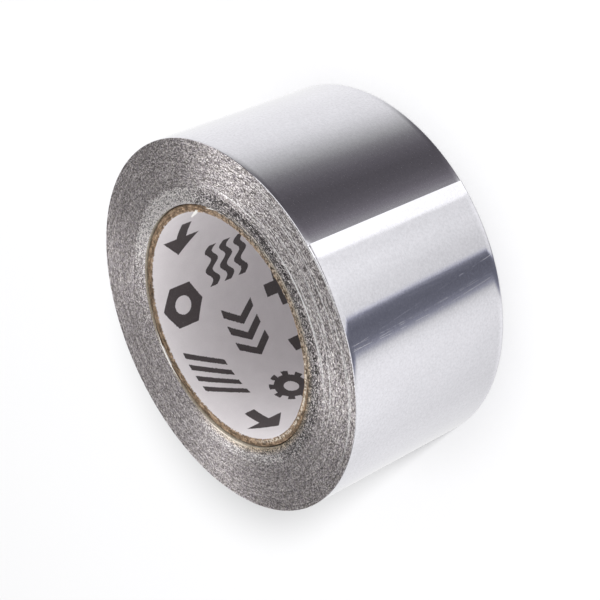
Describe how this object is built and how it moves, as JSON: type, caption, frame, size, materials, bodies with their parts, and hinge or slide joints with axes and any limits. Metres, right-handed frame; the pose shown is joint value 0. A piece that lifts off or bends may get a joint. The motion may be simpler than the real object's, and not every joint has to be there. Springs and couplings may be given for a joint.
{
  "type": "roll of aluminium foil tape",
  "caption": "Full roll of bright metal foil tape wound on a cardboard core with a printed paper lining, standing on one end face, its free end stuck down across the outside.",
  "frame": {"origin": "middle of the lower end face, on the axis of the roll, at the level that the roll stands on", "axes": "+Z along the axis of the roll and up as it stands, -Y towards the tape's free end on the outside"},
  "size_m": [0.1259, 0.1261, 0.063],
  "materials": {
    "foil_tape": "bright rolled foil with faint lines round the roll, and dull sparkling cut edges on the end faces",
    "core_board": "matt brown kraft board, cut ends slightly fuzzy",
    "lining_paper": "smooth white paper with bold dark plain shapes printed on it"
  },
  "bodies": {
    "root": {"tape_winding": "foil_tape", "cardboard_core": "core_board", "core_lining": "lining_paper"}
  },
  "joints": []
}
